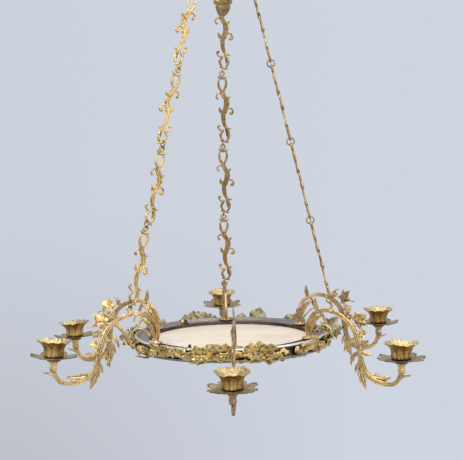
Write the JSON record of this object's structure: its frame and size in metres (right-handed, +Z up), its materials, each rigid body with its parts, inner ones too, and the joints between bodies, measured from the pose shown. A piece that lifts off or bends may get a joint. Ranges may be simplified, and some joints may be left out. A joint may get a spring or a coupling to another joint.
{
  "type": "pendant lamp",
  "caption": "Hanging candle lamp: cast ring frame with scroll arms, drip pans, fluted candle nozzles and a vine garland, on chains of ornate cast links from a small crown.",
  "frame": {"origin": "top of the inside of the hanging ring, where the ceiling hook bears, on the lamp's axis", "axes": "+Z up along the rod, +X to the lamp's right seen from the front, the front faces -Y"},
  "size_m": [0.5302, 0.5947, 0.6156],
  "materials": {
    "gilt": "worn gilt casting",
    "bronze": "aged bronze",
    "green_gilt": "greenish aged gilt",
    "pan_brass": "pale aged brass",
    "pewter": "grey worn silvered brass",
    "dark_iron": "dark brown",
    "milk_glass": "matte opal"
  },
  "bodies": {
    "hanger": {"hanging_ring": "bronze"},
    "rod": {"eye_rod": "bronze", "crown_nut": "bronze", "crown_acorn": "bronze"},
    "lamp": {"crown": "gilt", "ring_frame": "pewter", "plate_seat": "dark_iron", "garland_right": "green_gilt", "garland_back_left": "green_gilt", "garland_front_left": "green_gilt", "arm_back": "gilt", "arm_nut_back": "bronze", "drip_pan_back": "pan_brass", "candle_nozzle_back": "bronze", "arm_back_left": "gilt", "arm_nut_back_left": "bronze", "drip_pan_back_left": "pan_brass", "candle_nozzle_back_left": "bronze", "arm_front_left": "gilt", "arm_nut_front_left": "bronze", "drip_pan_front_left": "pan_brass", "candle_nozzle_front_left": "bronze", "arm_front": "gilt", "arm_nut_front": "bronze", "drip_pan_front": "pan_brass", "candle_nozzle_front": "bronze", "arm_front_right": "gilt", "arm_nut_front_right": "bronze", "drip_pan_front_right": "pan_brass", "candle_nozzle_front_right": "bronze", "arm_back_right": "gilt", "arm_nut_back_right": "bronze", "drip_pan_back_right": "pan_brass", "candle_nozzle_back_right": "bronze", "chain_back_ring_1": "bronze", "chain_back_ring_2": "bronze", "chain_back_ring_3": "bronze", "chain_back_ring_4": "bronze", "chain_left_ring_1": "bronze", "chain_left_ring_2": "bronze", "chain_left_ring_3": "bronze", "chain_left_ring_4": "bronze", "chain_right_ring_1": "bronze", "chain_right_ring_2": "bronze", "chain_right_ring_3": "bronze", "chain_right_ring_4": "bronze"},
    "plate": {"centre_plate": "milk_glass"},
    "back_link_1": {"chain_back_link_1": "gilt"},
    "back_link_2": {"chain_back_link_2": "gilt"},
    "back_link_3": {"chain_back_link_3": "gilt"},
    "back_link_4": {"chain_back_link_4": "gilt"},
    "left_link_1": {"chain_left_link_1": "gilt"},
    "left_link_2": {"chain_left_link_2": "gilt"},
    "left_link_3": {"chain_left_link_3": "gilt"},
    "left_link_4": {"chain_left_link_4": "gilt"},
    "right_link_1": {"chain_right_link_1": "gilt"},
    "right_link_2": {"chain_right_link_2": "gilt"},
    "right_link_3": {"chain_right_link_3": "gilt"},
    "right_link_4": {"chain_right_link_4": "gilt"}
  },
  "joints": [
    {"name": "sway", "type": "hinge", "parent": "hanger", "child": "rod", "pos_m": [0, 0, -0.024], "axis": [1, 0, 0], "range_deg": [-20, 20]},
    {"name": "swivel", "type": "hinge", "parent": "rod", "child": "lamp", "pos_m": [0, 0, -0.08], "axis": [0, 0, 1], "continuous": true},
    {"name": "plate_lift", "type": "slide", "parent": "lamp", "child": "plate", "axis": [0, 0, 1], "range_m": [0, 0.06]},
    {"name": "back_link_1_twist", "type": "hinge", "parent": "lamp", "child": "back_link_1", "pos_m": [-0.00276, 0.0585, -0.116], "axis": [0.0121, -0.2562, 0.9666], "range_deg": [-12, 12]},
    {"name": "back_link_2_twist", "type": "hinge", "parent": "lamp", "child": "back_link_2", "pos_m": [-0.00408, 0.08659, -0.222], "axis": [0.0121, -0.2562, 0.9666], "range_deg": [-12, 12]},
    {"name": "back_link_3_twist", "type": "hinge", "parent": "lamp", "child": "back_link_3", "pos_m": [-0.00541, 0.11468, -0.328], "axis": [0.0121, -0.2562, 0.9666], "range_deg": [-12, 12]},
    {"name": "back_link_4_twist", "type": "hinge", "parent": "lamp", "child": "back_link_4", "pos_m": [-0.00673, 0.14278, -0.434], "axis": [0.0121, -0.2562, 0.9666], "range_deg": [-12, 12]},
    {"name": "left_link_1_twist", "type": "hinge", "parent": "lamp", "child": "left_link_1", "pos_m": [-0.0494, -0.03144, -0.116], "axis": [0.218, 0.1349, 0.9666], "range_deg": [-12, 12]},
    {"name": "left_link_2_twist", "type": "hinge", "parent": "lamp", "child": "left_link_2", "pos_m": [-0.07332, -0.04623, -0.222], "axis": [0.218, 0.1349, 0.9666], "range_deg": [-12, 12]},
    {"name": "left_link_3_twist", "type": "hinge", "parent": "lamp", "child": "left_link_3", "pos_m": [-0.09723, -0.06102, -0.32801], "axis": [0.218, 0.1349, 0.9666], "range_deg": [-12, 12]},
    {"name": "left_link_4_twist", "type": "hinge", "parent": "lamp", "child": "left_link_4", "pos_m": [-0.12114, -0.07581, -0.43401], "axis": [0.218, 0.1349, 0.9666], "range_deg": [-12, 12]},
    {"name": "right_link_1_twist", "type": "hinge", "parent": "lamp", "child": "right_link_1", "pos_m": [0.05147, -0.02771, -0.11602], "axis": [-0.2176, 0.1331, 0.9669], "range_deg": [-12, 12]},
    {"name": "right_link_2_twist", "type": "hinge", "parent": "lamp", "child": "right_link_2", "pos_m": [0.07533, -0.0423, -0.22206], "axis": [-0.2176, 0.1331, 0.9669], "range_deg": [-12, 12]},
    {"name": "right_link_3_twist", "type": "hinge", "parent": "lamp", "child": "right_link_3", "pos_m": [0.09919, -0.05689, -0.3281], "axis": [-0.2176, 0.1331, 0.9669], "range_deg": [-12, 12]},
    {"name": "right_link_4_twist", "type": "hinge", "parent": "lamp", "child": "right_link_4", "pos_m": [0.12305, -0.07149, -0.43415], "axis": [-0.2176, 0.1331, 0.9669], "range_deg": [-12, 12]}
  ]
}
